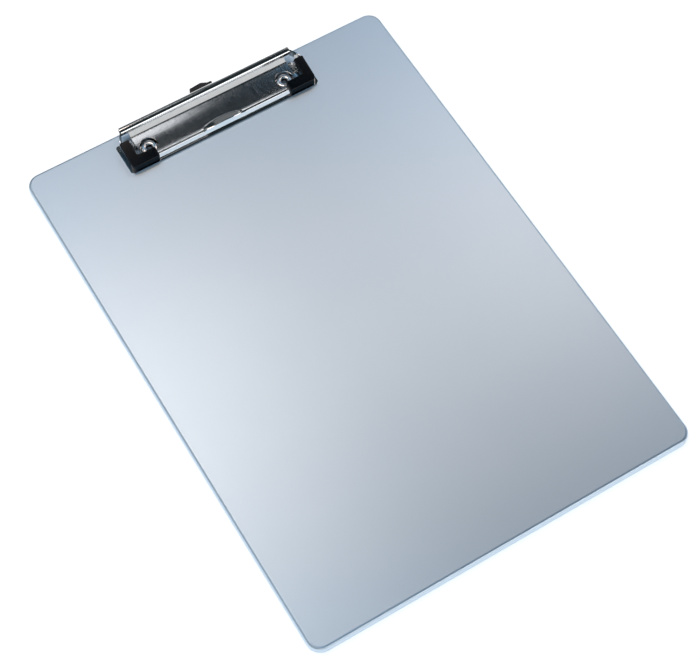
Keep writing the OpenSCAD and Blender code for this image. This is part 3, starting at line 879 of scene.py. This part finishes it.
def make_floor():
    """A pale floor, lit through from below as a light table is, but not under the board."""
    bm = bmesh.new()
    bmesh.ops.create_grid(bm, x_segments=1, y_segments=1, size=FLOOR_HALF)
    floor = as_object("floor", bm)
    floor.location.z = board_lo.z - 0.02 * MM
    material, tree, shader, place = new_material("pale_paper_sweep")
    shader.inputs["Base Color"].default_value = srgb("#f4f4f4")
    shader.inputs["Roughness"].default_value = 0.9
    shader.inputs["Emission Color"].default_value = srgb(WHITE)
    middle, half_length = (board_lo.y + board_hi.y) / 2, (board_hi.y - board_lo.y) / 2
    axes = add(tree, "SeparateXYZ", {"Vector": place})
    across = add(tree, "Math", {0: axes.outputs["X"]}, operation="ABSOLUTE")
    along = add(tree, "Math", {0: axes.outputs["Y"], 1: middle}, operation="SUBTRACT")
    along = add(tree, "Math", {0: along.outputs[0]}, operation="ABSOLUTE")
    past_side = add(tree, "Math", {0: across.outputs[0], 1: board_hi.x}, operation="SUBTRACT")
    past_end = add(tree, "Math", {0: along.outputs[0], 1: half_length}, operation="SUBTRACT")
    outside = add(tree, "Math", {0: past_side.outputs[0], 1: past_end.outputs[0]}, operation="MAXIMUM")
    glow = add(tree, "MapRange", {"Value": outside.outputs[0], "From Min": GLOW_START,
                                  "From Max": GLOW_FULL, "To Min": 0.0, "To Max": FLOOR_GLOW})
    tree.links.new(glow.outputs[0], shader.inputs["Emission Strength"])
    floor.data.materials.append(material)


def make_world():
    """The dark studio round the lights."""
    world = bpy.data.worlds.new("studio")
    world.use_nodes = True
    bpy.context.scene.world = world
    world.node_tree.nodes["Background"].inputs["Color"].default_value = STUDIO_DARK


def softbox(name, centre, towards, width, height, radiance, colour):
    """A rectangular diffuser that faces one way, as bright as a white world of that strength."""
    light = bpy.data.lights.new(name, "AREA")
    light.shape = "RECTANGLE"
    light.size = width
    light.size_y = height
    light.energy = math.pi * width * height * radiance
    light.color = srgb(colour)[:3]
    lamp = bpy.data.objects.new(name, light)
    bpy.context.scene.collection.objects.link(lamp)
    lamp.location = centre
    lamp.rotation_mode = "QUATERNION"
    lamp.rotation_quaternion = Vector(towards).to_track_quat("-Z", "Y")


def overhead(name, x0, x1, y0, y1, radiance, colour=WHITE):
    """A level softbox in the ceiling, between two distances across and two along."""
    centre = ((x0 + x1) / 2, (y0 + y1) / 2, CEILING)
    softbox(name, centre, (0, 0, -1), x1 - x0, y1 - y0, radiance, colour)


def end_wall(name, y, x0, x1, z0, z1, radiance):
    """An upright softbox before or behind the board that faces it."""
    centre = ((x0 + x1) / 2, y, (z0 + z1) / 2)
    softbox(name, centre, (0, -y, 0), x1 - x0, z1 - z0, radiance, WHITE)


def side_wall(name, x, y0, y1, z0, z1, radiance, colour):
    """An upright softbox at one side of the board that faces it."""
    centre = (x, (y0 + y1) / 2, (z0 + z1) / 2)
    softbox(name, centre, (-x, 0, 0), y1 - y0, z1 - z0, radiance, colour)


def make_lights():
    """Softboxes in the ceiling and on all four walls, with distances across, along and up in metres."""
    # the key shows in the board's bright middle, with a gap that keeps the clip's panel dark
    overhead("key_left", -0.35, 0.15, 0.33, 0.64, 4.1, WARM)
    overhead("key_edge", 0.15, 0.25, 0.38, 0.64, 0.4)
    overhead("key_right", 0.38, 1.1, 0.32, 0.64, 2.9, WARM)
    # dimmer and cooler towards the board's near end
    overhead("near_left", -0.35, 0.08, 0.1, 0.31, 1.4)
    overhead("near_left_cool", -0.35, 0.08, -0.9, 0.1, 0.65, COOL)
    overhead("near_right_cool", 0.46, 1.1, -0.9, 0.31, 0.25, COOL)
    overhead("side_left", -0.9, -0.45, -0.9, 1.7, 1.0)
    # the far end, with a slot that draws the light patch on the clip's panel
    overhead("rear_left", -0.25, 0.08, 0.64, 1.2, 0.85, COOL)
    overhead("rear_slot", 0.08, 0.26, 0.86, 0.97, 1.4)
    overhead("rear_middle", 0.08, 0.46, 0.97, 1.2, 0.4)
    overhead("rear_right", 0.46, 1.1, 0.64, 1.2, 0.9, COOL)
    # the top shows in the riser, and the band in the roll
    end_wall("front_top", FRONT, -1.3, 1.3, 0.8, 1.06, 0.8)
    end_wall("front_wall", FRONT, -1.3, 1.3, 0.3, 0.8, 1.0)
    end_wall("front_low", FRONT, -1.3, 1.3, 0.02, 0.3, 0.45)
    end_wall("front_band", FRONT + 0.02, 0.15, 0.6, 0.3, 0.8, 1.7)
    side_wall("left_wall", LEFT, -0.8, 1.2, 0.05, 1.05, 0.5, PALE)
    side_wall("right_wall", RIGHT, -0.8, 1.2, 0.05, 1.05, 0.5, PALE)
    end_wall("rear_wall", REAR, 0.3, 1.6, 0.45, 1.05, 0.16)
    end_wall("rear_low", REAR, 0.4, 1.1, 0.005, 0.455, 1.6)


def make_camera():
    """A long lens, up over the reader's left shoulder, as the photograph was taken."""
    data = bpy.data.cameras.new("camera")
    data.sensor_width = 36
    data.lens = CAMERA_LENS_MM
    data.clip_start = 0.05
    data.clip_end = 20
    camera = bpy.data.objects.new("camera", data)
    bpy.context.scene.collection.objects.link(camera)
    level = math.cos(CAMERA_DOWN)
    looking = Vector((math.sin(CAMERA_HEADING) * level, math.cos(CAMERA_HEADING) * level,
                      -math.sin(CAMERA_DOWN)))
    rolled = Matrix.Rotation(-CAMERA_ROLL, 3, "Z").to_quaternion()
    camera.location = CAMERA_AT
    camera.rotation_mode = "QUATERNION"
    camera.rotation_quaternion = looking.to_track_quat("-Z", "Y") @ rolled
    bpy.context.scene.camera = camera


make_floor()
make_world()
make_lights()
make_camera()
bpy.context.scene.view_settings.view_transform = "Standard"
